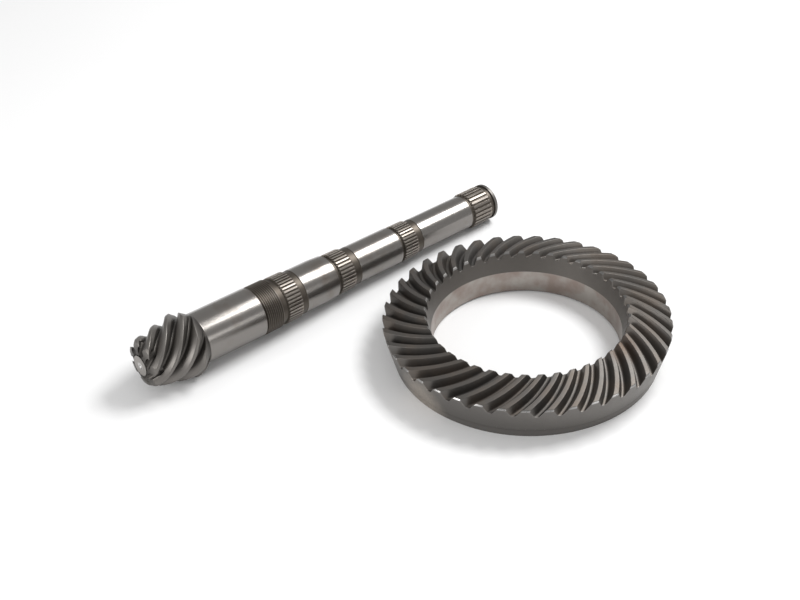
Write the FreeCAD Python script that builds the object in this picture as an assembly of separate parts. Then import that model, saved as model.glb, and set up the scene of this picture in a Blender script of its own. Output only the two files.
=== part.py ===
import FreeCAD, Part
import os
from math import atan, cos, hypot, pi, radians, sin, tan
from FreeCAD import Matrix, Placement, Vector

# Ring and pinion gear set, millimetres, +Z up, loose on the bench.
# The origin is the centre of the ring gear's back face, which lies on the bench.
# The pinion shaft lies beside it on its toothed head and its tail. +X is right and +Y is away.

# Ring gear: turned blank
BORE_DIA = 125.0
BORE_LAND = 17.0
BACK_DIA = 176.0
HEEL_DIA = 189.8
HEEL_HEIGHT = 25.8
TOE_DIA = 132.0
TOE_HEIGHT = 31.7
BORE_CHAMFER = 1.2
HEEL_CHAMFER = 1.0

# Ring gear: curved tooth gaps, as a face mill leaves them
RING_TEETH = 41
HEEL_DEPTH = 6.4
TOE_DEPTH = 4.7
SPIRAL_ANGLE = 39.5
MILL_RADIUS = 76.2
MILL_SWEEP = 38.0
BLADE_POINT = 2.2
BLADE_ANGLE = 22.0
FIRST_GAP = -4.0

# Ring gear: tapped holes in the back face, at the tapping drill's size
BOLT_COUNT = 8
BOLT_CIRCLE_DIA = 151.0
TAP_DIA = 8.8
TAP_DEPTH = 13.0

# Pinion head: stations along the shaft run from the heel of the teeth to the tail
PINION_TEETH = 7
HEAD_LENGTH = 32.0
HEAD_HEEL_DIA = 46.2
HEAD_TOE_DIA = 32.8
HEAD_HEEL_DEPTH = 6.3
HEAD_TOE_DEPTH = 4.8
HEAD_TWIST = 132.0
GAP_FLOOR_SHARE = 0.17
GAP_TOP_SHARE = 0.75
FLANK_BULGE = 0.04
BACK_CONE_LENGTH = 8.0
NOSE_DIA = 15.0
NOSE_LENGTH = 2.5
NOSE_CHAMFER = 1.1

# Pinion shaft: bearing seat and fine thread, the thread left plain at its pitch diameter
SEAT_DIA = 35.0
SEAT_END = 53.6
THREAD_DIA = 34.0
THREAD_END = 69.3

# Pinion shaft: splines, outer diameter, head end and tail end, and how many teeth each has
SPLINE_1 = (34.0, 72.0, 84.4)
SPLINE_2 = (30.0, 119.4, 132.1)
SPLINE_3 = (27.0, 178.1, 191.3)
SPLINE_4 = (27.0, 246.3, 263.8)
SPLINE_1_TEETH = 42
SPLINE_2_TEETH = 36
SPLINE_3_TEETH = 36
SPLINE_4_TEETH = 26
SPLINE_DEPTH = 1.0
SPLINE_RELIEF = 0.25
GROOVE_TOP_SHARE = 0.50
GROOVE_FLOOR_SHARE = 0.24

# Pinion shaft: ground lands between the splines, diameter, head end and tail end
LAND_2 = (32.2, 88.9, 116.5)
LAND_3 = (27.7, 137.7, 175.5)
LAND_4 = (25.0, 196.4, 244.3)
LAND_CHAMFER = 0.5

# Pinion shaft: collar behind the ring groove at the tail, and centre holes
COLLAR_DIA = 26.6
COLLAR_START = 266.8
TAIL_END = 270.0
TAIL_CHAMFER = 1.1
CENTRE_DIA = 5.2
CENTRE_ANGLE = 30.0

# Where the shaft lies: the heel's place and the tail's heading from +X towards +Y
HEEL_X = -222.4
HEEL_Y = -10.6
HEADING = 39.55

# How far a cutting shape stands clear of the metal that it cuts
CLEAR = 1.0

# Steps along a pinion gap's loft, and steps in which the resting roll of the head is searched
LOFT_STEPS = 6
REST_STEPS = 400

# Ring gear corners as (radius, height), with the root of the teeth at each end
BACK_EDGE = (BACK_DIA / 2, 0.0)
HEEL_TIP = (HEEL_DIA / 2, HEEL_HEIGHT)
TOE_TIP = (TOE_DIA / 2, TOE_HEIGHT)
BORE_TOP = (BORE_DIA / 2, BORE_LAND)

# Pinion head corners as (radius, station)
HEAD_HEEL = (HEAD_HEEL_DIA / 2, 0.0)
HEAD_TOE = (HEAD_TOE_DIA / 2, -HEAD_LENGTH)
NOSE = (NOSE_DIA / 2, -HEAD_LENGTH - NOSE_LENGTH)
PINION_PITCH = 360.0 / PINION_TEETH

UP = Vector(0, 0, 1)
ORIGIN = Vector(0, 0, 0)


def along(start, end, distance):
    """Point at a distance from start towards end, both as (radius, height)."""
    share = distance / hypot(end[0] - start[0], end[1] - start[1])
    return (start[0] + share * (end[0] - start[0]), start[1] + share * (end[1] - start[1]))


def turned(profile):
    """Solid of revolution about Z from its (radius, height) corners."""
    corners = [Vector(r, 0, z) for r, z in profile]
    face = Part.Face(Part.makePolygon(corners + corners[:1]))
    return face.revolve(ORIGIN, UP, 360)


def around(shape, count, first=0.0):
    """Copies of a shape spaced evenly about Z, the first turned by an angle."""
    copies = []
    for i in range(count):
        copy = shape.copy()
        copy.rotate(ORIGIN, UP, first + i * 360.0 / count)
        copies.append(copy)
    return copies


def polar(radius, angle, height):
    """Point at a radius, an angle in degrees and a height."""
    return Vector(radius * cos(radians(angle)), radius * sin(radians(angle)), height)


def ring_blank():
    """Turned ring: flat back, coned wall, face cone with a chamfered heel, toe cone and bore."""
    return turned([
        (BORE_TOP[0] + BORE_CHAMFER, 0.0),
        BACK_EDGE,
        along(HEEL_TIP, BACK_EDGE, HEEL_CHAMFER),
        along(HEEL_TIP, TOE_TIP, HEEL_CHAMFER),
        TOE_TIP,
        BORE_TOP,
        (BORE_TOP[0], BORE_CHAMFER),
    ])


def blade_section(top):
    """Face across the mill's blade in XZ, its point at z = 0 and its shank at the given height."""
    point = BLADE_POINT / 2
    shank = point + top * tan(radians(BLADE_ANGLE))
    corners = [
        Vector(-point, 0, 0),
        Vector(point, 0, 0),
        Vector(shank, 0, top),
        Vector(-shank, 0, top),
    ]
    return Part.Face(Part.makePolygon(corners + corners[:1]))


def ring_gap():
    """One tooth gap: the blade swung about the mill's axis, square to the root of the teeth."""
    heel = along(HEEL_TIP, BACK_EDGE, HEEL_DEPTH)
    toe = along(TOE_TIP, BORE_TOP, TOE_DEPTH)
    middle = Vector((heel[0] + toe[0]) / 2, 0, (heel[1] + toe[1]) / 2)
    outward = Vector(heel[0] - toe[0], 0, heel[1] - toe[1]).normalize()
    square = Vector(-outward.z, 0, outward.x)
    spiral = radians(SPIRAL_ANGLE)
    tooth = outward * cos(spiral) - Vector(0, 1, 0) * sin(spiral)
    across = tooth.cross(square)
    blade = blade_section(2 * HEEL_DEPTH)
    blade.Placement = Placement(Matrix(
        across.x, tooth.x, square.x, middle.x,
        across.y, tooth.y, square.y, middle.y,
        across.z, tooth.z, square.z, middle.z))
    centre = middle + across * MILL_RADIUS
    blade.rotate(centre, square, -MILL_SWEEP / 2)
    return blade.revolve(centre, square, MILL_SWEEP)


def tapped_hole():
    """Blind hole in the back face."""
    hole = Part.makeCylinder(TAP_DIA / 2, TAP_DEPTH + CLEAR)
    hole.translate(Vector(BOLT_CIRCLE_DIA / 2, 0, -CLEAR))
    return hole


def ring_gear():
    """Ring gear: blank less its tooth gaps and tapped holes."""
    gaps = around(ring_gap(), RING_TEETH, FIRST_GAP)
    return ring_blank().cut(gaps + around(tapped_hole(), BOLT_COUNT))


def groove_floor(spline):
    """Radius at the floor of a spline's grooves."""
    return spline[0] / 2 - SPLINE_DEPTH


def spline_core(spline, before, after):
    """Profile of the relief that runs under a spline from the land before it to the land after."""
    relief = groove_floor(spline) - SPLINE_RELIEF
    return [(relief, before), (relief, after)]


def land_profile(land):
    """Plain ground land, chamfered towards the head."""
    radius = land[0] / 2
    return [(radius - LAND_CHAMFER, land[1] - LAND_CHAMFER), (radius, land[1]), (radius, land[2])]


def shaft_blank():
    """Turned shaft along Z: head, bearing seat, thread, splines, lands and tail collar."""
    seat = SEAT_DIA / 2
    thread = THREAD_DIA / 2
    collar = COLLAR_DIA / 2
    profile = [
        (0.0, NOSE[1]),
        NOSE,
        along(HEAD_TOE, NOSE, NOSE_CHAMFER),
        along(HEAD_TOE, HEAD_HEEL, NOSE_CHAMFER),
        HEAD_HEEL,
        (seat, BACK_CONE_LENGTH),
        (seat, SEAT_END - LAND_CHAMFER),
        (thread, SEAT_END),
        (thread, THREAD_END),
    ]
    profile += spline_core(SPLINE_1, THREAD_END, LAND_2[1] - LAND_CHAMFER)
    profile += land_profile(LAND_2)
    profile += spline_core(SPLINE_2, LAND_2[2], LAND_3[1] - LAND_CHAMFER)
    profile += land_profile(LAND_3)
    profile += spline_core(SPLINE_3, LAND_3[2], LAND_4[1] - LAND_CHAMFER)
    profile += land_profile(LAND_4)
    profile += spline_core(SPLINE_4, LAND_4[2], COLLAR_START)
    profile += [
        (collar, COLLAR_START),
        (collar, TAIL_END - TAIL_CHAMFER),
        (collar - TAIL_CHAMFER, TAIL_END),
        (0.0, TAIL_END),
    ]
    return turned(profile)


def gap_section(station):
    """Outline across one pinion gap, square to the shaft, its flanks bent once at mid depth."""
    share = -station / HEAD_LENGTH
    tip = HEAD_HEEL[0] + share * (HEAD_TOE[0] - HEAD_HEEL[0])
    depth = HEAD_HEEL_DEPTH + share * (HEAD_TOE_DEPTH - HEAD_HEEL_DEPTH)
    centre = share * HEAD_TWIST + PINION_PITCH / 2
    floor_half = GAP_FLOOR_SHARE * PINION_PITCH / 2
    tip_half = GAP_TOP_SHARE * PINION_PITCH / 2
    middle_half = (floor_half + tip_half) / 2 - FLANK_BULGE * PINION_PITCH
    beyond = 2 * CLEAR / depth
    top_half = tip_half + 2 * beyond * (tip_half - middle_half)
    corners = [(tip - depth, floor_half), (tip - depth / 2, middle_half), (tip + 2 * CLEAR, top_half)]
    right = [polar(radius, centre + half, station) for radius, half in corners]
    left = [polar(radius, centre - half, station) for radius, half in corners]
    outline = left[::-1] + right
    return Part.makePolygon(outline + outline[:1])


def pinion_gap():
    """One spiral gap of the pinion head, run out through the back cone."""
    start = NOSE[1] - CLEAR
    end = BACK_CONE_LENGTH + CLEAR
    step = (end - start) / LOFT_STEPS
    stations = [start + i * step for i in range(LOFT_STEPS + 1)]
    return Part.makeLoft([gap_section(station) for station in stations], True, False)


def spline_teeth(spline, teeth):
    """Toothed length of a spline, with a tooth on the upward side."""
    outer, start, end = spline[0] / 2, spline[1], spline[2]
    floor = groove_floor(spline)
    pitch = 360.0 / teeth
    tooth_half = (1 - GROOVE_TOP_SHARE) * pitch / 2
    foot_half = (1 - GROOVE_FLOOR_SHARE) * pitch / 2
    outline = []
    for i in range(teeth):
        middle = i * pitch
        outline.append(polar(floor, middle - foot_half, start))
        outline.append(polar(outer, middle - tooth_half, start))
        outline.append(polar(outer, middle + tooth_half, start))
        outline.append(polar(floor, middle + foot_half, start))
    return Part.Face(Part.makePolygon(outline + outline[:1])).extrude(UP * (end - start))


def centre_hole():
    """Countersunk centre hole, opening downwards at z = 0."""
    mouth = CENTRE_DIA / 2
    slope = tan(radians(CENTRE_ANGLE))
    return turned([
        (0.0, -CLEAR),
        (mouth + CLEAR * slope, -CLEAR),
        (0.0, mouth / slope),
    ])


def centre_holes():
    """Centre holes in the nose and in the tail."""
    nose = centre_hole()
    nose.translate(Vector(0, 0, NOSE[1]))
    tail = centre_hole()
    tail.rotate(ORIGIN, Vector(1, 0, 0), 180)
    tail.translate(Vector(0, 0, TAIL_END))
    return [nose, tail]


def head_reach(roll, tilt):
    """How far below the heel's centre the head's teeth reach, at a roll about the shaft."""
    reach = 0.0
    land_half = (1 - GAP_TOP_SHARE) * PINION_PITCH / 2
    for i in range(REST_STEPS):
        share = i / REST_STEPS
        tip = HEAD_HEEL[0] + share * (HEAD_TOE[0] - HEAD_HEEL[0])
        turn = (roll + share * HEAD_TWIST - 180) % PINION_PITCH
        off = max(min(turn, PINION_PITCH - turn) - land_half, 0.0)
        reach = max(reach, tip * cos(radians(off)) - share * HEAD_LENGTH * tan(tilt))
    return reach


def lay_down(shaft):
    """Lay the shaft on two of the head's teeth and on its last spline."""
    tail_rest = SPLINE_4[0] / 2
    tilt = atan((HEAD_HEEL[0] - tail_rest) / SPLINE_4[2])
    rolls = [(i / REST_STEPS - 0.5) * PINION_PITCH for i in range(REST_STEPS)]
    roll = min(rolls, key=lambda angle: head_reach(angle, tilt))
    head_rest = head_reach(roll, tilt)
    tilt = atan((head_rest - tail_rest) / SPLINE_4[2])
    heading = radians(HEADING)
    axis = Vector(cos(heading) * cos(tilt), sin(heading) * cos(tilt), -sin(tilt))
    side = Vector(sin(heading), -cos(heading), 0)
    top = side.cross(axis)
    placed = shaft.copy()
    placed.rotate(ORIGIN, UP, roll)
    placed.Placement = Placement(Matrix(
        top.x, side.x, axis.x, HEEL_X,
        top.y, side.y, axis.y, HEEL_Y,
        top.z, side.z, axis.z, head_rest * cos(tilt))).multiply(placed.Placement)
    return placed


def pinion_shaft():
    """Pinion and shaft in one piece, lying on the bench."""
    splines = [
        spline_teeth(SPLINE_1, SPLINE_1_TEETH),
        spline_teeth(SPLINE_2, SPLINE_2_TEETH),
        spline_teeth(SPLINE_3, SPLINE_3_TEETH),
        spline_teeth(SPLINE_4, SPLINE_4_TEETH),
    ]
    cuts = around(pinion_gap(), PINION_TEETH) + centre_holes()
    return lay_down(shaft_blank().fuse(splines).cut(cuts))


def main():
    os.makedirs("parts", exist_ok=True)
    for name, make in (("ring_gear", ring_gear), ("pinion_shaft", pinion_shaft)):
        solid = make().Solids[0]
        solid.exportStep("parts/" + name + ".step")
        print(name, "volume", round(solid.Volume))


main()
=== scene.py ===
# %% [markdown]
# The set is a ring gear that lies on its flat back, and a pinion in one piece with
# a long stepped shaft, which lies behind it. The imported CAD part is loaded as a fixed
# frame, in metres, so each detailed piece lands where the real one is.

# %% Load the frame
from math import cos, radians, sin

import bpy
from mathutils import Matrix, Vector


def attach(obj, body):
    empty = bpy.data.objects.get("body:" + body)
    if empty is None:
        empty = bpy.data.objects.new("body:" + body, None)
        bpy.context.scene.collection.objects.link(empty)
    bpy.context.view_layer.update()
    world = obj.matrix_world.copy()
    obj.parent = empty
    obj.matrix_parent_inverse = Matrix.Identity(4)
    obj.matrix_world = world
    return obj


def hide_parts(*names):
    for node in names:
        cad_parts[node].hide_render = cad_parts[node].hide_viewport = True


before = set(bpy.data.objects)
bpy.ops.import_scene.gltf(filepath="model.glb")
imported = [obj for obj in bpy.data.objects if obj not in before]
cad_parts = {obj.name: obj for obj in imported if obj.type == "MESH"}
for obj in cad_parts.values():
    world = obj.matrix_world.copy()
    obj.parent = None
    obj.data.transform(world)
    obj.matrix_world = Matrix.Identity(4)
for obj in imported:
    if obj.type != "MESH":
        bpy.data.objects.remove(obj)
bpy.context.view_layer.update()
MM = 0.001
print("nodes", sorted(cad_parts))

# %% [markdown]
# The camera stands in front of the set and looks down on it, as in a catalogue
# picture. It could be aimed with a constraint, but a place and three angles are
# plainer, and they don't change when something else in the scene moves.

# %% Camera
CAMERA_PLACE = (-0.08219, -0.72728, 0.58074)
CAMERA_TURN = (53.496, 1.852, -1.370)
CAMERA_LENS = 63.0


def add_camera():
    """Camera at the picture's viewing angle."""
    bpy.ops.object.camera_add(
        location=CAMERA_PLACE, rotation=[radians(angle) for angle in CAMERA_TURN])
    camera = bpy.context.object
    camera.name = "camera"
    camera.data.lens = CAMERA_LENS
    bpy.context.scene.camera = camera
    return camera


print("camera", add_camera().name)

# %% [markdown]
# Steel shows little of its own colour. It shows what stands around it, so the lights
# are large and soft. A high one behind draws the bright line along the shaft, and
# two low ones beside the camera light the teeth and glint on their chamfers. The world
# is an even pale grey, which the gloss picks up everywhere else.

# %% Lights
SKY_COLOR = (1.0, 1.0, 1.0, 1.0)
SKY_STRENGTH = 0.55
LIGHT_TARGET = Vector((-0.04, 0.02, 0.02))
STUDIO_LIGHTS = (
    ("light_high", (0.66, 0.40, 1.12), 0.7, 0.45, 15.0),
    ("light_left", (-1.20, -0.85, 0.55), 0.55, 0.5, 7.0),
    ("light_right", (1.12, -0.93, 0.50), 0.8, 0.4, 2.4),
)


def add_light(name, place, wide, high, power):
    """Soft rectangular light turned to the middle of the set."""
    bpy.ops.object.light_add(type="AREA", location=place)
    light = bpy.context.object
    light.name = name
    light.data.shape = "RECTANGLE"
    light.data.size = wide
    light.data.size_y = high
    light.data.energy = power
    toward = LIGHT_TARGET - Vector(place)
    light.rotation_euler = toward.to_track_quat("-Z", "Y").to_euler()
    return light


world = bpy.data.worlds.new("studio")
world.use_nodes = True
world.node_tree.nodes["Background"].inputs["Color"].default_value = SKY_COLOR
world.node_tree.nodes["Background"].inputs["Strength"].default_value = SKY_STRENGTH
bpy.context.scene.world = world
bpy.context.scene.view_settings.view_transform = "Standard"
for light_values in STUDIO_LIGHTS:
    print("light", add_light(*light_values).name)

# %% [markdown]
# Every steel surface here is a sum of masks: where the bore is, where the wall is, how
# deep a gap is. Linking such sums node by node is slow to read. Wire wraps one output
# socket instead, so an expression such as 1 - mask adds the Math node by itself.

# %% Sums of sockets


class Wire:
    """One output socket of a finish. Arithmetic on it adds Math nodes."""

    def __init__(self, finish, socket):
        self.finish = finish
        self.socket = socket

    def __add__(self, other):
        return self.finish.math("ADD", self, other)

    def __sub__(self, other):
        return self.finish.math("SUBTRACT", self, other)

    def __rsub__(self, other):
        return self.finish.math("SUBTRACT", other, self)

    def __mul__(self, other):
        return self.finish.math("MULTIPLY", self, other)

    def __gt__(self, other):
        return self.finish.math("GREATER_THAN", self, other)

    def __lt__(self, other):
        return self.finish.math("LESS_THAN", self, other)

    __radd__ = __add__
    __rmul__ = __mul__


# %% [markdown]
# A finish is one material with its nodes. Each could be built by hand in the shader
# editor, but the ring, the shaft and the floor need the same few nodes again and
# again, so Finish adds any node through its method add and has a short name for
# the ones that recur.

# %% Finish and its nodes


class Finish:
    """A material and its nodes."""

    def __init__(self, name):
        self.material = bpy.data.materials.new(name)
        self.material.use_nodes = True
        self.tree = self.material.node_tree
        self.surface = self.tree.nodes["Principled BSDF"]
        self.place = self.add("ShaderNodeTexCoord", {}, {}, "Object")

    def add(self, kind, settings, sockets, output=0):
        """Add a node, set its settings, then its sockets, and give one output."""
        node = self.tree.nodes.new(kind)
        for key, value in settings.items():
            setattr(node, key, value)
        for key, value in sockets.items():
            self.feed(node.inputs[key], value)
        return Wire(self, node.outputs[output])

    def feed(self, socket, value):
        """Link a wire to a socket, or set the socket's own value."""
        if isinstance(value, Wire):
            self.tree.links.new(value.socket, socket)
        else:
            socket.default_value = value

    def math(self, operation, first, second):
        """Math node on two numbers or wires."""
        return self.add("ShaderNodeMath", {"operation": operation}, {0: first, 1: second})

    def vector(self, operation, first, second, output=0):
        """Vector Math node."""
        return self.add(
            "ShaderNodeVectorMath", {"operation": operation}, {0: first, 1: second}, output)

    def ramp(self, value, start, end):
        """Number that climbs from 0 to 1 while a value goes from start to end."""
        return self.add("ShaderNodeMapRange", {"clamp": True}, {
            "Value": value, "From Min": start, "From Max": end, "To Min": 0.0, "To Max": 1.0})

    def noise(self, place, scale, detail=3.0, roughness=0.55):
        """Soft cloud of numbers around a half."""
        return self.add("ShaderNodeTexNoise", {}, {
            "Vector": place, "Scale": scale, "Detail": detail, "Roughness": roughness}, "Fac")

    def stripes(self, value, scale, detail=4.0, roughness=0.7):
        """Noise along one direction, as a turning or grinding tool leaves it."""
        return self.add("ShaderNodeTexNoise", {"noise_dimensions": "1D"}, {
            "W": value, "Scale": scale, "Detail": detail, "Roughness": roughness}, "Fac")

    def blend(self, mask, low, high):
        """Colour that goes from low to high with a mask."""
        return self.add("ShaderNodeMix", {"data_type": "RGBA"}, {0: mask, 6: low, 7: high}, 2)

    def bump(self, height, distance):
        """Fine relief of that height in metres."""
        return self.add("ShaderNodeBump", {}, {
            "Strength": 1.0, "Distance": distance, "Height": height}, "Normal")

    def set(self, **sockets):
        """Feed the shader's own sockets, named with _ for a space."""
        for key, value in sockets.items():
            self.feed(self.surface.inputs[key.replace("_", " ").title()], value)
        return self.material


def tone(value, warmth=0.0):
    """Linear colour of a grey, a little warmer where warmth is above 0."""
    return (value * (1 + warmth), value, value * (1 - warmth), 1.0)


# %% [markdown]
# Floor: a plain pale table. One plane is enough; it's a little below the ring's back so
# the two faces don't flicker. It belongs to the stage, not to the set.

# %% Floor
FLOOR_SIZE = 8.0
FLOOR_DROP = 0.00005
FLOOR_GRAIN = 3.0
FLOOR_TONES = (tone(0.90), tone(0.94))
FLOOR_ROUGHNESS = 0.9


def plain_floor():
    """Large plane under the set."""
    bpy.ops.mesh.primitive_plane_add(size=FLOOR_SIZE, location=(0, 0, 0))
    bpy.ops.object.mode_set(mode="EDIT")
    bpy.ops.mesh.select_all(action="SELECT")
    bpy.ops.transform.translate(value=(0, 0, -FLOOR_DROP))
    bpy.ops.object.mode_set(mode="OBJECT")
    floor = bpy.context.object
    floor.name = "floor"
    paint = Finish("floor_paint")
    grain = paint.noise(paint.place, FLOOR_GRAIN)
    floor.data.materials.append(paint.set(
        base_color=paint.blend(grain, *FLOOR_TONES), roughness=FLOOR_ROUGHNESS))
    return floor


plain_floor()
print("floor", FLOOR_SIZE, "m")

# %% [markdown]
# Both gears start as a copy of their CAD node. The teeth are cut along arcs and
# twists that no primitive has, and the CAD solid holds them exactly, so a copy keeps
# the true shape. The copy's loose triangles are welded, and flat areas become single
# faces, so that edges can be bevelled cleanly.

# %% Copy a CAD node
WELD = 0.0001
FLAT = radians(0.6)


def only(piece):
    """Make a piece the only selected and active object."""
    bpy.ops.object.select_all(action="DESELECT")
    piece.select_set(True)
    bpy.context.view_layer.objects.active = piece


def tidy_mesh(piece):
    """Weld a mesh's points and join its flat areas into single faces."""
    only(piece)
    bpy.ops.object.mode_set(mode="EDIT")
    bpy.ops.mesh.select_all(action="SELECT")
    bpy.ops.mesh.remove_doubles(threshold=WELD)
    bpy.ops.mesh.dissolve_limited(angle_limit=FLAT)
    bpy.ops.object.mode_set(mode="OBJECT")


def working_copy(node, name):
    """Welded copy of a CAD node with its flat areas joined."""
    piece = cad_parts[node].copy()
    piece.data = piece.data.copy()
    piece.name = name
    piece.parent = None
    for key in list(piece.keys()):
        del piece[key]
    bpy.context.scene.collection.objects.link(piece)
    tidy_mesh(piece)
    piece.data.materials.clear()
    print(name, len(piece.data.polygons), "faces")
    return piece


# %% [markdown]
# Chamfers, the scribed line and the thread's core are all turned shapes, as they'd be on
# a lathe. A turned blank is drawn with a circle that is extruded and resized from
# step to step, and one Boolean keeps only what lies inside it. The same Boolean takes
# a cutter away from a piece.

# %% Turned blanks
BLANK_SIDES = 192


def turned_blank(name, profile, place=None):
    """Closed turned solid about Z from (radius, height) steps, laid at a place."""
    start = profile[0]
    bpy.ops.object.select_all(action="DESELECT")
    bpy.ops.mesh.primitive_circle_add(
        vertices=BLANK_SIDES, radius=start[0], fill_type="NGON", location=(0, 0, start[1]))
    blank = bpy.context.object
    blank.name = name
    bpy.ops.object.transform_apply(location=True)
    bpy.ops.object.mode_set(mode="EDIT")
    bpy.ops.mesh.select_mode(type="FACE")
    bpy.ops.mesh.select_all(action="SELECT")
    for before, after in zip(profile, profile[1:]):
        bpy.ops.mesh.extrude_region_move(
            TRANSFORM_OT_translate={"value": (0, 0, after[1] - before[1])})
        share = after[0] / before[0]
        bpy.ops.transform.resize(
            value=(share, share, 1), center_override=(0, 0, after[1]))
    bpy.ops.mesh.select_all(action="SELECT")
    bpy.ops.mesh.normals_make_consistent(inside=False)
    bpy.ops.object.mode_set(mode="OBJECT")
    if place is not None:
        blank.matrix_world = place
        bpy.ops.object.transform_apply(location=True, rotation=True)
    return blank


def cut_with(piece, tool, operation="INTERSECT"):
    """Keep only what lies inside a blank, or outside a cutter, and take the tool away."""
    only(piece)
    cut = piece.modifiers.new("turning", "BOOLEAN")
    cut.operation = operation
    cut.solver = "EXACT"
    cut.object = tool
    bpy.ops.object.modifier_apply(modifier=cut.name)
    bpy.data.objects.remove(tool)
    print(piece.name, "turned to", len(piece.data.polygons), "faces")


def in_metres(profile):
    """Profile in mm as metres."""
    return [(radius * MM, height * MM) for radius, height in profile]


# %% [markdown]
# Ring gear: 41 spiral teeth on a coned face, a plain bore and a coned wall. A real one is
# turned before its teeth are cut. Here the toothed copy goes back on the lathe: its
# blank leaves a chamfer on the teeth's inner and outer ends and cuts the fine scribed
# line that runs round the wall just above the back.

# %% Ring blank
WALL_BACK = 88.0
WALL_LEAN = 0.26744
HEEL_TIP = (94.9, 25.8)
TOE_TIP = (66.0, 31.7)
TOE_CHAMFER = 1.1
TOE_INSET = 3.0
LINE_HEIGHT = 5.8
LINE_WIDTH = 2.0
LINE_DEPTH = 0.35
SPARE = 0.4
BLANK_FOOT = -1.0
BLANK_TIP_RADIUS = 1.0


def wall_radius(height):
    """Radius of the ring's coned wall at a height, in mm."""
    return WALL_BACK + WALL_LEAN * height


def ring_profile():
    """Steps of the ring's blank, from the back up to the teeth's inner ends."""
    line_low = LINE_HEIGHT - LINE_WIDTH / 2
    line_high = LINE_HEIGHT + LINE_WIDTH / 2
    inner_end = TOE_TIP[1] - TOE_INSET - TOE_CHAMFER
    return [
        (wall_radius(BLANK_FOOT) + SPARE, BLANK_FOOT),
        (wall_radius(line_low) + SPARE, line_low),
        (wall_radius(LINE_HEIGHT) - LINE_DEPTH, LINE_HEIGHT),
        (wall_radius(line_high) + SPARE, line_high),
        (HEEL_TIP[0] + 2 * SPARE, HEEL_TIP[1]),
        (HEEL_TIP[0], HEEL_TIP[1] + SPARE),
        (TOE_TIP[0] + TOE_CHAMFER, TOE_TIP[1]),
        (TOE_TIP[0] - TOE_INSET, inner_end),
        (BLANK_TIP_RADIUS, inner_end),
    ]


ring = working_copy("ring_gear", "ring_gear_detailed")
cut_with(ring, turned_blank("ring_blank", in_metres(ring_profile())))
tidy_mesh(ring)

# %% [markdown]
# A cut tooth never has a knife edge: it's deburred, and its root is rounded by the
# cutter's tip. Edit mode's Bevel makes both on edges picked in code by
# how sharp they are and where they lie. A bevel of all edges at one width would
# swallow the fine splines, so each area gets its own width.

# %% Round sharp edges
SHARP = radians(28)


def round_edges(piece, width, segments, chosen):
    """Bevel the sharp edges whose middle is chosen."""
    only(piece)
    bpy.ops.object.mode_set(mode="EDIT")
    bpy.ops.mesh.select_mode(type="EDGE")
    bpy.ops.mesh.select_all(action="DESELECT")
    bpy.ops.mesh.edges_select_sharp(sharpness=SHARP)
    bpy.ops.object.mode_set(mode="OBJECT")
    points = piece.data.vertices
    for part in (*points, *piece.data.polygons):
        part.select = False
    kept = 0
    for edge in piece.data.edges:
        middle = (points[edge.vertices[0]].co + points[edge.vertices[1]].co) / 2
        edge.select = edge.select and chosen(middle)
        kept += edge.select
    bpy.ops.object.mode_set(mode="EDIT")
    bpy.ops.mesh.bevel(offset=width, segments=segments, clamp_overlap=False)
    bpy.ops.object.mode_set(mode="OBJECT")
    print(piece.name, "edges rounded", kept)


# %% [markdown]
# Ring edges: the gaps' bottoms get a wide fillet first, and then the tops, sides and
# ends of the teeth a narrow one. Depth below the cone of the tooth tops tells the two
# apart, because a gap's bottom is always deep and never at the wall or the inner cone.

# %% Ring edges
LAND_SLOPE = (TOE_TIP[1] - HEEL_TIP[1]) / (HEEL_TIP[0] - TOE_TIP[0])
CONE_FOOT = 58.45
CONE_LEAN = 0.2381
EDGE_NEAR = 0.15
ROOT_LOWEST = 18.0
ROOT_DEPTH = 3.0
ROOT_ROUND = 0.8
ROOT_SEGMENTS = 3
TIP_ROUND = 0.3
TIP_SEGMENTS = 2


def at_root(point):
    """True deep inside a tooth gap, away from the wall and the inner cone."""
    radius = Vector((point.x, point.y)).length / MM
    height = point.z / MM
    land = HEEL_TIP[1] + LAND_SLOPE * (HEEL_TIP[0] - radius)
    inside = radius < wall_radius(height) - EDGE_NEAR
    outside = radius > CONE_FOOT + CONE_LEAN * height + EDGE_NEAR
    return inside and outside and height > ROOT_LOWEST and land - height > ROOT_DEPTH


def at_tip(point):
    """True at a tooth's top, side and end edges."""
    return point.z > ROOT_LOWEST * MM and not at_root(point)


round_edges(ring, ROOT_ROUND * MM, ROOT_SEGMENTS, at_root)
round_edges(ring, TIP_ROUND * MM, TIP_SEGMENTS, at_tip)

# %% [markdown]
# Shaft: the pinion's head, the bearing seat, the thread, four splines and the
# lands between them. It rests on the pinion's teeth and on its last spline, so it lies
# askew in every direction. Its own frame starts in the middle of the head's back plane
# and runs to the tail, and every step is then a plain distance along the shaft.

# %% Shaft frame
HEEL_POINT = Vector((-0.2224, -0.0106, 0.02207))
SHAFT_TOP = Vector((0.025068, 0.020701, 0.999471))
SHAFT_SIDE = Vector((0.636751, -0.771069, 0.0))
SHAFT_LINE = Vector((0.770662, 0.636415, -0.03251))
SHAFT_PLACE = Matrix.Translation(HEEL_POINT) @ Matrix(
    (SHAFT_TOP, SHAFT_SIDE, SHAFT_LINE)).transposed().to_4x4()


def station(point):
    """Distance of a point along the shaft, in mm."""
    return (point - HEEL_POINT).dot(SHAFT_LINE) / MM


shaft = working_copy("pinion_shaft", "pinion_shaft_detailed")

# %% [markdown]
# Nose: from the front the pinion is a star of seven teeth round a small hub, because
# the gaps run out deep beside it. One slanting rod follows the end of a gap. Six copies
# of it complete the circle, and the joined rods are taken away in a single Boolean.

# %% Nose notches
PINION_TEETH = 7
NOTCH_RADIUS = 2.3
NOTCH_SIDES = 20
NOTCH_FRONT = (9.9, 15.7, -35.5)
NOTCH_BACK = (14.7, -19.4, -27.0)


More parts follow.
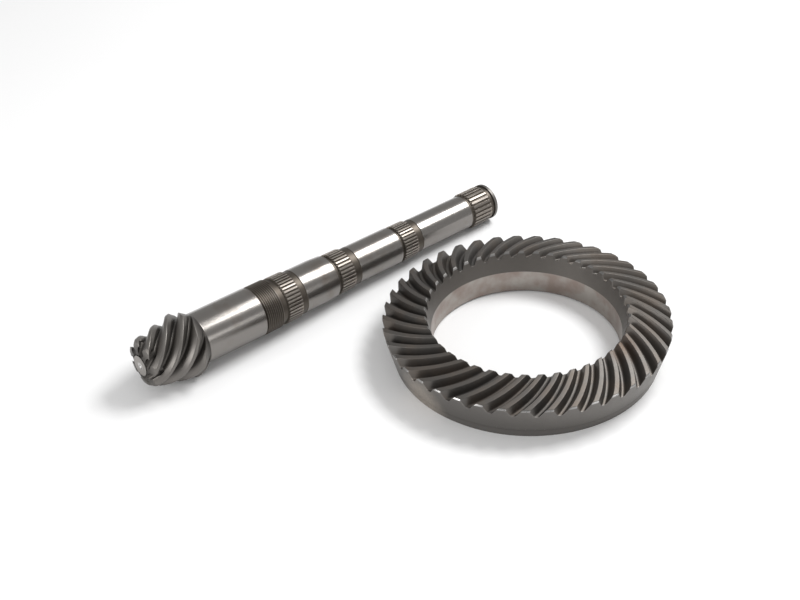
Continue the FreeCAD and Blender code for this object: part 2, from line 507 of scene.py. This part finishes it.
def from_polar(spot):
    """Point in the shaft's frame from a radius, an angle in degrees and a station, in mm."""
    radius, angle, height = spot
    return Vector((radius * cos(radians(angle)), radius * sin(radians(angle)), height)) * MM


def notch_rod():
    """Slanting rod along the end of one tooth gap, in the shaft's own frame."""
    front, back = from_polar(NOTCH_FRONT), from_polar(NOTCH_BACK)
    run = back - front
    bpy.ops.object.select_all(action="DESELECT")
    bpy.ops.mesh.primitive_cylinder_add(
        vertices=NOTCH_SIDES, radius=NOTCH_RADIUS * MM, depth=run.length,
        location=(front + back) / 2, rotation=run.to_track_quat("Z", "Y").to_euler())
    bpy.ops.object.transform_apply(location=True, rotation=True)
    return bpy.context.object


def notch_cutter():
    """The rod and its copies, one at each tooth gap, joined into one cutter."""
    rods = [notch_rod()]
    while len(rods) < PINION_TEETH:
        rod = rods[0].copy()
        rod.data = rods[0].data.copy()
        bpy.context.scene.collection.objects.link(rod)
        rods.append(rod)
    for gap, rod in enumerate(rods):
        only(rod)
        rod.matrix_world = SHAFT_PLACE @ Matrix.Rotation(
            radians(gap * 360 / PINION_TEETH), 4, "Z")
        bpy.ops.object.transform_apply(location=True, rotation=True)
    for rod in rods:
        rod.select_set(True)
    bpy.ops.object.join()
    return bpy.context.object


cut_with(shaft, notch_cutter(), "DIFFERENCE")

# %% [markdown]
# Shaft blank: one turned shape holds the groove round the hub, the thread's core
# and the slanted ends of the splines, which let a gear slide on without catching.
# From spline to spline its side runs straight, clear of the steps between them. Only
# the last 9 mm of the front land touch it, and taper there by up to half a millimetre.

# %% Shaft blank
HUB_RADIUS = 7.4
HUB_GROOVE = 0.7
HUB_FLOOR = -33.6
NOSE_CLEAR = -36.0
HEAD_CLEAR = ((20.0, NOSE_CLEAR), (26.0, -2.0), (26.0, 20.0))
SHAFT_CLEAR = 19.0
TAIL_CLEAR = (15.0, 275.0)
THREAD_STATIONS = (53.7, 69.6)
THREAD_CORE = 16.45
SPLINES = (
    (17.0, 72.0, 84.4), (15.0, 119.4, 132.1), (13.5, 178.1, 191.3), (13.5, 246.3, 263.8))
LEAD_IN = 0.7


def shaft_profile():
    """Steps of the shaft's blank, from the nose to the tail."""
    thread_start, thread_end = THREAD_STATIONS
    steps = [
        (HUB_RADIUS, NOSE_CLEAR), (HUB_RADIUS, HUB_FLOOR),
        (HUB_RADIUS + HUB_GROOVE, HUB_FLOOR), (HUB_RADIUS + HUB_GROOVE, NOSE_CLEAR),
        *HEAD_CLEAR, (SHAFT_CLEAR, HEAD_CLEAR[-1][1]),
        (SHAFT_CLEAR, thread_start), (THREAD_CORE, thread_start),
        (THREAD_CORE, thread_end), (SHAFT_CLEAR, thread_end),
    ]
    for outer, start, end in SPLINES:
        low, high = outer - LEAD_IN - SPARE, outer + SPARE
        rise = high - low
        steps += [
            (high, start - SPARE), (low, start - SPARE), (high, start - SPARE + rise),
            (high, end + SPARE - rise), (low, end + SPARE), (high, end + SPARE),
        ]
    return steps + [TAIL_CLEAR, (BLANK_TIP_RADIUS, TAIL_CLEAR[1])]


cut_with(shaft, turned_blank("shaft_blank", in_metres(shaft_profile()), SHAFT_PLACE))
tidy_mesh(shaft)

# %% [markdown]
# Shaft edges: the head's teeth are rounded most, the thin ends round the nose and
# the splines least. Each row holds a width and the stretch of the shaft it's for.

# %% Shaft edges
ROUNDED_STATIONS = ((0.4, -30.0, 8.3), (0.12, -34.3, -30.0), (0.13, 71.0, 272.0))

for width, start, end in ROUNDED_STATIONS:
    round_edges(
        shaft, width * MM, TIP_SEGMENTS, lambda point: start < station(point) < end)

# %% [markdown]
# Thread: the nut on this M35 fine thread clamps the bearings on their seat. The ridge
# is a four-sided circle turned on edge, which the Screw modifier sweeps round the core
# nine times. That gives true crests that catch the light, where a bump map would look
# flat from the side. The ends are capped, so the ridge is closed.

# %% Thread
THREAD_CREST = 17.4
THREAD_PITCH = 1.5
THREAD_TURNS = 9
THREAD_START = 54.9
RIDGE_HIGH = 1.05
TURN_STEPS = 72


def ridge_section():
    """Four-sided section of the ridge, as high as it is and one pitch long."""
    bpy.ops.object.select_all(action="DESELECT")
    bpy.ops.mesh.primitive_circle_add(
        vertices=4, radius=RIDGE_HIGH * MM, rotation=(radians(90), 0, 0),
        location=((THREAD_CREST - RIDGE_HIGH) * MM, 0, 0))
    ridge = bpy.context.object
    ridge.name = "pinion_thread"
    bpy.ops.object.transform_apply(location=True, rotation=True)
    bpy.ops.object.mode_set(mode="EDIT")
    bpy.ops.mesh.select_all(action="SELECT")
    bpy.ops.transform.resize(
        value=(1, 1, THREAD_PITCH / 2 / RIDGE_HIGH), center_override=(0, 0, 0))
    bpy.ops.object.mode_set(mode="OBJECT")
    return ridge


def thread_ridge():
    """Closed helical ridge with a V crest, in the shaft's place."""
    ridge = ridge_section()
    screw = ridge.modifiers.new("helix", "SCREW")
    screw.axis = "Z"
    screw.angle = radians(360)
    screw.screw_offset = THREAD_PITCH * MM
    screw.iterations = THREAD_TURNS
    screw.steps = TURN_STEPS
    screw.render_steps = TURN_STEPS
    bpy.ops.object.modifier_apply(modifier=screw.name)
    bpy.ops.object.mode_set(mode="EDIT")
    bpy.ops.mesh.select_all(action="SELECT")
    bpy.ops.mesh.fill_holes(sides=4)
    bpy.ops.mesh.select_all(action="SELECT")
    bpy.ops.mesh.normals_make_consistent(inside=False)
    bpy.ops.object.mode_set(mode="OBJECT")
    ridge.matrix_world = SHAFT_PLACE @ Matrix.Translation((0, 0, THREAD_START * MM))
    bpy.ops.object.transform_apply(location=True, rotation=True)
    return ridge


thread = thread_ridge()
print("thread", len(thread.data.polygons), "faces")

# %% [markdown]
# Shading: long smooth faces meet short bevels. Smooth by Angle alone would bend the
# light across the long faces, so Weighted Normal lets the large faces keep their own
# direction. The corner between the ring's bore and the cone above it is too blunt
# for the angle, so it's marked sharp.

# %% Shading
SMOOTH = radians(35)
LARGE_FACE_WEIGHT = 60
BORE_TOP = (62.5, 17.0)
REACH = 0.05


def at_bore_top(point):
    """True on the circle where the bore meets the cone above it."""
    radius = Vector((point.x, point.y)).length
    near = abs(radius / MM - BORE_TOP[0]) < 2 * REACH
    return near and abs(point.z / MM - BORE_TOP[1]) < REACH


def mark_corner(piece, test):
    """Mark the edges whose two ends pass the test as sharp."""
    points = piece.data.vertices
    only(piece)
    bpy.ops.object.mode_set(mode="EDIT")
    bpy.ops.mesh.select_mode(type="EDGE")
    bpy.ops.mesh.select_all(action="DESELECT")
    bpy.ops.object.mode_set(mode="OBJECT")
    for edge in piece.data.edges:
        edge.select = all(test(points[end].co) for end in edge.vertices)
    bpy.ops.object.mode_set(mode="EDIT")
    bpy.ops.mesh.mark_sharp()
    bpy.ops.object.mode_set(mode="OBJECT")


def shade(piece):
    """Smooth shading in which large faces keep their own direction."""
    only(piece)
    weigh = piece.modifiers.new("weigh", "WEIGHTED_NORMAL")
    weigh.keep_sharp = True
    weigh.weight = LARGE_FACE_WEIGHT
    bpy.ops.object.modifier_apply(modifier=weigh.name)


for piece in (ring, shaft, thread):
    only(piece)
    bpy.ops.object.shade_smooth_by_angle(angle=SMOOTH)
mark_corner(ring, at_bore_top)
shade(ring)
shade(shaft)
print("smooth below", round(SMOOTH / radians(1)), "degrees")

# %% [markdown]
# Ring tones: the teeth have a dark phosphate coat, the bore is turned bright, and the
# wall lies between the two. Deep in the gaps the teeth get a darker tone, which is
# painted shade. Each tone is a linear grey with a little warmth, since oil and old rust
# turn bare steel brown. A span is the two values between which a mask goes from 0 to 1,
# in mm unless it's on noise.

# %% Ring tones
TOOTH_TONE = tone(0.115, 0.06)
# Painted shade: the darker tone deep in the tooth gaps.
TOOTH_ROOT_SHADE_TONE = tone(0.085, 0.07)
TOOTH_LAND_TONE = tone(0.105, 0.07)
TOOTH_MOTTLE_TONE = (0.150, 0.122, 0.100, 1.0)
TOOTH_BACK_RIGHT_TONE = tone(0.175, 0.09)
INNER_CONE_TONE = tone(0.13, 0.08)
BORE_TONE = tone(0.33, 0.08)
BORE_STAIN_TONE = (0.275, 0.225, 0.200, 1.0)
WALL_TONE = tone(0.165, 0.06)
HEEL_TONE = tone(0.36, 0.02)
TOE_TONE = tone(0.19, 0.03)

BORE_RADIUS_SPAN = (62.9, 62.6)
BORE_HEIGHT_SPAN = (17.1, 16.9)
WALL_SPAN = (WALL_BACK - 0.7, WALL_BACK - 0.4)
CONE_SPAN = (CONE_FOOT + 0.25, CONE_FOOT + 0.12)
HEEL_RADIUS_SPAN = (93.9, 94.1)
HEEL_HEIGHT_SPAN = (24.7, 24.9)
TOE_FACE = TOE_TIP[1] - TOE_TIP[0] - TOE_CHAMFER
TOE_SPAN = (TOE_FACE - 0.12, TOE_FACE - 0.04)
ROOT_SHADE_SPAN = (1.2, 5.5)
LAND_SPAN = (0.25, 0.05)
MOTTLE_SPAN = (0.42, 0.66)
STAIN_SPAN = (0.40, 0.62)
# The teeth turn lighter towards the back right, in patches of the cloud noise.
LIGHTER_WAY = (0.75, 0.65, 0.0)
LIGHTER_SPAN = (10.0, 85.0)
LIGHTER_SHARE = 1.7
print("ring tones", TOOTH_TONE, WALL_TONE, BORE_TONE)

# %% [markdown]
# Two marks of use are on this ring alone: a paler scuff on the wall at the front
# left, and a brown rust bloom on the teeth at the front right. Each is a soft ball round
# a point, in metres, whose edge the cloud noise makes uneven.

# %% Marks of use
SCUFF_TONE = tone(0.42, 0.12)
SCUFF_PLACE = (-0.0700, -0.0540, 0.0080)
SCUFF_SPAN = (0.028, 0.014)
SCUFF_WOBBLE = 0.012
SCUFF_SHARE = 1.3
RUST_TONE = (0.090, 0.058, 0.040, 1.0)
RUST_PLACE = (0.0540, -0.0390, 0.0310)
RUST_SPAN = (0.024, 0.012)
RUST_WOBBLE = 0.016
RUST_SHARE = 1.2
print("scuff at", SCUFF_PLACE, "rust at", RUST_PLACE)

# %% [markdown]
# Ring finish: one material tells the surfaces apart by radius and height on Object
# coordinates, so the borders fall exactly on the real corners. Separate materials
# would need faces picked by hand, and they'd end on a hard line where the painted
# shade deepens from the tooth tops into the gaps.

# %% Ring finish
TO_MM = 1000.0
CLOUD_SCALE = 60.0
SPECK_SCALE = 900.0
SPECK_DETAIL = 2.0
RING_LINES = 3.0
RING_METALLIC = 0.92
RING_ROUGHNESS = 0.47
RING_UNEVEN = 0.14
BORE_SMOOTHER = 0.10
HEEL_SMOOTHER = 0.19
SPECK_RELIEF = 0.5
RING_RELIEF = 0.00003


def ring_finish():
    """Dark teeth with painted shade deep in their gaps, bright bore, middling wall, and the
    two marks of use.
    """
    paint = Finish("ring_steel_finish")
    flat = paint.vector("MULTIPLY", paint.place, (TO_MM, TO_MM, 0.0))
    radius = paint.vector("LENGTH", flat, (0.0, 0.0, 0.0), "Value")
    height = paint.add("ShaderNodeSeparateXYZ", {}, {0: paint.place}, "Z") * TO_MM
    behind = paint.vector("DOT_PRODUCT", paint.place, LIGHTER_WAY, "Value") * TO_MM
    depth = HEEL_TIP[1] + LAND_SLOPE * HEEL_TIP[0] - LAND_SLOPE * radius - height
    cloud = paint.noise(paint.place, CLOUD_SCALE)
    specks = paint.noise(paint.place, SPECK_SCALE, SPECK_DETAIL)

    in_bore = paint.ramp(radius, *BORE_RADIUS_SPAN) * paint.ramp(height, *BORE_HEIGHT_SPAN)
    on_wall = paint.ramp(radius - WALL_LEAN * height, *WALL_SPAN)
    on_heel = paint.ramp(radius, *HEEL_RADIUS_SPAN) * paint.ramp(height, *HEEL_HEIGHT_SPAN)
    on_toe = paint.ramp(height - radius, *TOE_SPAN)
    on_cone = paint.ramp(radius - CONE_LEAN * height, *CONE_SPAN)
    scuff = paint.vector("DISTANCE", paint.place, SCUFF_PLACE, "Value") + SCUFF_WOBBLE * cloud
    rust = paint.vector("DISTANCE", paint.place, RUST_PLACE, "Value") + RUST_WOBBLE * cloud

    # Lighter towards the back right, in patches.
    back_right_lighter = paint.ramp(behind, *LIGHTER_SPAN) * cloud * LIGHTER_SHARE
    rusted = paint.ramp(rust, *RUST_SPAN) * specks * RUST_SHARE
    scuffed = paint.ramp(scuff, *SCUFF_SPAN) * specks * SCUFF_SHARE
    tooth = paint.blend(back_right_lighter, TOOTH_TONE, TOOTH_BACK_RIGHT_TONE)
    # Painted shade: the teeth darken with depth towards the bottoms of the gaps.
    tooth = paint.blend(paint.ramp(depth, *ROOT_SHADE_SPAN), tooth, TOOTH_ROOT_SHADE_TONE)
    tooth = paint.blend(paint.ramp(depth, *LAND_SPAN), tooth, TOOTH_LAND_TONE)
    tooth = paint.blend(paint.ramp(cloud, *MOTTLE_SPAN) * specks, tooth, TOOTH_MOTTLE_TONE)
    tooth = paint.blend(rusted, tooth, RUST_TONE)
    wall = paint.blend(scuffed, WALL_TONE, SCUFF_TONE)
    bore = paint.blend(paint.ramp(cloud, *STAIN_SPAN), BORE_TONE, BORE_STAIN_TONE)

    color = paint.blend(on_cone, tooth, INNER_CONE_TONE)
    color = paint.blend(in_bore, color, bore)
    color = paint.blend(on_wall, color, wall)
    color = paint.blend(on_heel, color, HEEL_TONE)
    color = paint.blend(on_toe, color, TOE_TONE)
    lines = paint.stripes(height, RING_LINES)
    rough = RING_ROUGHNESS + RING_UNEVEN * (cloud - 0.5) + RING_UNEVEN * (specks - 0.5)
    rough = rough - BORE_SMOOTHER * in_bore - HEEL_SMOOTHER * on_heel
    relief = lines * (in_bore + on_wall) + SPECK_RELIEF * specks
    return paint.set(
        base_color=color, metallic=RING_METALLIC, roughness=rough,
        normal=paint.bump(relief, RING_RELIEF))


ring.data.materials.append(ring_finish())
print(ring.data.materials[0].name)

# %% [markdown]
# Shaft tones: ground lands shine, the splines and the thread stay dark between worn
# bright tops, and the head's teeth are satin, with painted shade deep in their gaps. The
# centre hole is painted bright as a glint. A band is a start and an end along the shaft
# in mm. A top's band has the radius above which the wear shows, too.

# %% Shaft tones
GROUND_TONE = tone(0.215, 0.06)
SMUDGE_TONE = (0.150, 0.118, 0.092, 1.0)
# Painted glint in the nose's centre hole.
CENTRE_GLINT_TONE = tone(0.60, 0.02)
HUB_TONE = tone(0.30, 0.06)
HEAD_TONE = tone(0.17, 0.07)
# Painted shade deep in the head's tooth gaps.
HEAD_GAP_SHADE_TONE = tone(0.075, 0.08)
CUT_TONE = tone(0.080, 0.16)
TOP_TONE = tone(0.25, 0.10)
COLLAR_TONE = tone(0.15, 0.06)

GROUND_BANDS = ((8.2, 53.1), (88.9, 116.5), (137.7, 175.5), (196.4, 244.3))
COLLAR_BAND = (266.9, 270.5)
THREAD_TOP_BAND = (17.2, 54.2, 69.2)
TOP_DEPTH = 0.12
TOP_BANDS = (THREAD_TOP_BAND,) + tuple(
    (outer - TOP_DEPTH, start, end) for outer, start, end in SPLINES)
BAND_EDGE = 0.05
SMUDGE_SPAN = (0.52, 0.72)
HEAD_SPAN = (8.3, 8.1)
HEAD_CONE = 23.1
HEAD_LEAN = 0.209
HEAD_GAP_SHADE_SPAN = (1.5, 6.0)
HUB_FACE = HUB_RADIUS - 0.5
HUB_SPAN = (-32.0, -32.5)
CENTRE_RADIUS = 2.7
CENTRE_GLINT_SPAN = (-31.0, -31.5)
TOP_SHARE = 0.6
TOP_UNEVEN = 0.8
print("shaft bands", len(GROUND_BANDS) + len(TOP_BANDS))

# %% [markdown]
# Shaft finish: the shaft lies askew, so no axis of the Object coordinates runs along
# it. A Dot Product with the shaft's line gives a point's distance along it, and a
# Cross Product the distance from its middle, so each band ends where its step does.

# %% Shaft finish
SMUDGE_SCALE = 55.0
SHAFT_LINES = 6.0
SHAFT_METALLIC = 0.95
SHAFT_ROUGHNESS = 0.44
SHAFT_UNEVEN = 0.12
GROUND_SMOOTHER = 0.21
TOP_SMOOTHER = 0.12
LINE_UNEVEN = 0.06
SHAFT_SPECK_RELIEF = 0.6
SHAFT_RELIEF = 0.000012


def shaft_finish():
    """Ground lands, dark splines and thread with bright tops, satin teeth with painted shade
    in their gaps, and a painted glint in the centre hole.
    """
    paint = Finish("shaft_steel_finish")
    offset = paint.vector("SUBTRACT", paint.place, tuple(HEEL_POINT))
    along = paint.vector("DOT_PRODUCT", offset, tuple(SHAFT_LINE), "Value") * TO_MM
    across = paint.vector("CROSS_PRODUCT", offset, tuple(SHAFT_LINE), "Vector")
    radius = paint.vector("LENGTH", across, (0.0, 0.0, 0.0), "Value") * TO_MM
    cloud = paint.noise(paint.place, SMUDGE_SCALE)
    specks = paint.noise(paint.place, SPECK_SCALE, SPECK_DETAIL)
    lines = paint.stripes(along, SHAFT_LINES)

    def between(start, end):
        after = paint.ramp(along, start - BAND_EDGE, start + BAND_EDGE)
        return after * paint.ramp(along, end + BAND_EDGE, end - BAND_EDGE)

    ground = sum(between(start, end) for start, end in GROUND_BANDS)
    tops = sum(between(start, end) * (radius > outer) for outer, start, end in TOP_BANDS)
    # Painted shade: the head's teeth darken deep in their gaps.
    gap_shade = paint.ramp(HEAD_CONE + HEAD_LEAN * along - radius, *HEAD_GAP_SHADE_SPAN)
    smudged = paint.ramp(cloud, *SMUDGE_SPAN) * specks
    on_hub = (radius < HUB_FACE) * paint.ramp(along, *HUB_SPAN)
    # Painted glint: the centre hole is coloured bright.
    centre_glint = (radius < CENTRE_RADIUS) * paint.ramp(along, *CENTRE_GLINT_SPAN)

    teeth = paint.blend(gap_shade, HEAD_TONE, HEAD_GAP_SHADE_TONE)
    color = paint.blend(paint.ramp(along, *HEAD_SPAN), CUT_TONE, teeth)
    color = paint.blend(ground, color, paint.blend(smudged, GROUND_TONE, SMUDGE_TONE))
    color = paint.blend(between(*COLLAR_BAND), color, COLLAR_TONE)
    color = paint.blend(on_hub, color, HUB_TONE)
    color = paint.blend(centre_glint, color, CENTRE_GLINT_TONE)
    color = paint.blend(tops * (TOP_SHARE + TOP_UNEVEN * (cloud - 0.5)), color, TOP_TONE)
    rough = SHAFT_ROUGHNESS - GROUND_SMOOTHER * ground - TOP_SMOOTHER * tops
    rough = rough + SHAFT_UNEVEN * (cloud - 0.5) + LINE_UNEVEN * (lines - 0.5)
    relief = lines * ground + SHAFT_SPECK_RELIEF * specks * (1 - ground)
    return paint.set(
        base_color=color, metallic=SHAFT_METALLIC, roughness=rough,
        normal=paint.bump(relief, SHAFT_RELIEF))


shaft_steel = shaft_finish()
shaft.data.materials.append(shaft_steel)
thread.data.materials.append(shaft_steel)
print(shaft_steel.name)

# %% [markdown]
# Hand over: every piece rides on the set's only body, and the CAD nodes are hidden.

# %% Hand over
for piece, slot in ((ring, "ring_steel"), (shaft, "shaft_steel"), (thread, "shaft_steel")):
    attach(piece, "root")
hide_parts("ring_gear")
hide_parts("pinion_shaft")
